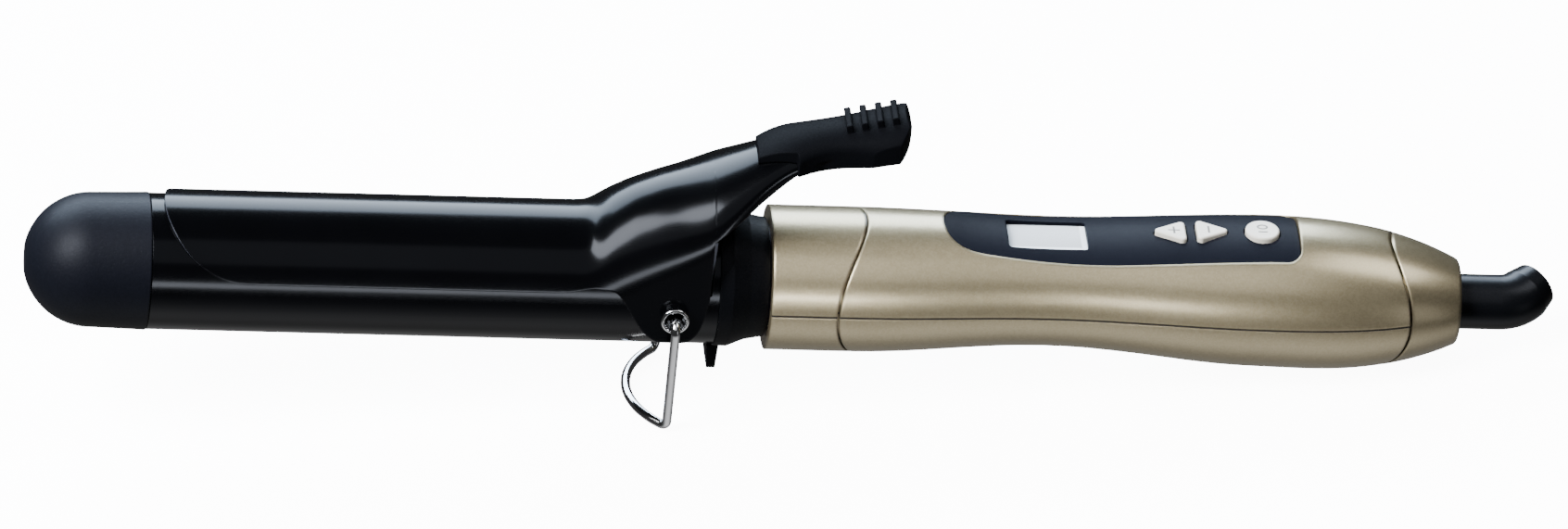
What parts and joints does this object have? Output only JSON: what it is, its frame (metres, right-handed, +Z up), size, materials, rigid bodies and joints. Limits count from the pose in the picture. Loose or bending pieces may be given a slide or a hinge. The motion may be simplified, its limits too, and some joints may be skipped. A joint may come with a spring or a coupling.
{
  "type": "curling iron",
  "caption": "Curling iron with a round heated barrel, sprung clip with thumb lever, fold-away wire stand, handle with display and press buttons, and a swivelling cord outlet.",
  "frame": {"origin": "on the table under the middle of the iron's box, as it stands on its wire stand and the swell of its handle", "axes": "+X from the cool tip toward the cord outlet, +Y across, +Z up, on the side of the clip's thumb lever"},
  "size_m": [0.3604, 0.0456, 0.0757],
  "materials": {
    "tip_black": "fine grain",
    "barrel_black": "gloss",
    "collar_black": "matt",
    "clip_black": "gloss",
    "pad_black": "fine grain",
    "bright_steel": "polished",
    "champagne": "metallic lacquer",
    "panel_black": "satin",
    "lens_clear": "clear",
    "lcd_grey": "satin",
    "key_pearl": "pearl",
    "board_green": "satin",
    "chip_black": "matt",
    "spreader_alloy": "as extruded",
    "stone_grey": "ceramic",
    "electrode": "sheet",
    "mica": "sheet",
    "contact_brass": "drawn",
    "plain_steel": "drawn",
    "lead_white": "sleeved",
    "swivel_black": "satin",
    "sensor_glass": "bead"
  },
  "bodies": {
    "iron": {"cool_tip": "tip_black", "barrel_tube": "barrel_black", "heat_spreader_upper": "spreader_alloy", "heat_spreader_lower": "spreader_alloy", "ptc_stones": "stone_grey", "electrode_plates": "electrode", "mica_sheets": "mica", "temperature_sensor": "sensor_glass", "thermal_fuse": "electrode", "heater_leads": "lead_white", "sensor_leads": "lead_white", "neck_collar": "collar_black", "pivot_rivets": "bright_steel", "front_ring_upper": "champagne", "front_ring_lower": "champagne", "handle_upper_shell": "champagne", "handle_lower_shell": "champagne", "end_cap": "champagne", "control_panel": "panel_black", "display_lens": "lens_clear", "display_module": "lcd_grey", "circuit_board": "board_green", "tact_switches": "chip_black", "board_components": "chip_black", "board_screws": "plain_steel", "handle_screws": "plain_steel", "contact_carrier": "chip_black", "contact_brushes": "contact_brass", "mains_leads": "lead_white"},
    "clip": {"clip_plate": "clip_black", "thumb_pad": "pad_black", "clip_spring": "plain_steel"},
    "stand": {"wire_stand": "bright_steel"},
    "cord_swivel": {"swivel_elbow": "swivel_black", "slip_rings": "contact_brass"},
    "plus_key": {"plus_button": "key_pearl"},
    "minus_key": {"minus_button": "key_pearl"},
    "power_key": {"power_button": "key_pearl"}
  },
  "joints": [
    {"name": "clip_hinge", "type": "hinge", "parent": "iron", "child": "clip", "pos_m": [-0.02882, 0, 0.03184], "axis": [0, 1, 0], "range_deg": [0, 20], "stiffness_Nm_per_rad": 0.35, "springref_deg": -25.78, "deforming": ["clip_spring"]},
    {"name": "stand_hinge", "type": "hinge", "parent": "iron", "child": "stand", "pos_m": [-0.02882, 0, 0.03184], "axis": [0, 1, 0], "range_deg": [-68, 42]},
    {"name": "cord_turn", "type": "hinge", "parent": "iron", "child": "cord_swivel", "pos_m": [0.15712, 0, 0.01389], "axis": [0.9959, 0, -0.0902], "continuous": true},
    {"name": "plus_press", "type": "slide", "parent": "iron", "child": "plus_key", "axis": [-0.0902, 0, -0.9959], "range_m": [0, 0.0005], "stiffness_N_per_m": 2000, "springref_m": -0.0005},
    {"name": "minus_press", "type": "slide", "parent": "iron", "child": "minus_key", "axis": [-0.0902, 0, -0.9959], "range_m": [0, 0.0005], "stiffness_N_per_m": 2000, "springref_m": -0.0005},
    {"name": "power_press", "type": "slide", "parent": "iron", "child": "power_key", "axis": [-0.0902, 0, -0.9959], "range_m": [0, 0.0005], "stiffness_N_per_m": 2000, "springref_m": -0.0005}
  ]
}
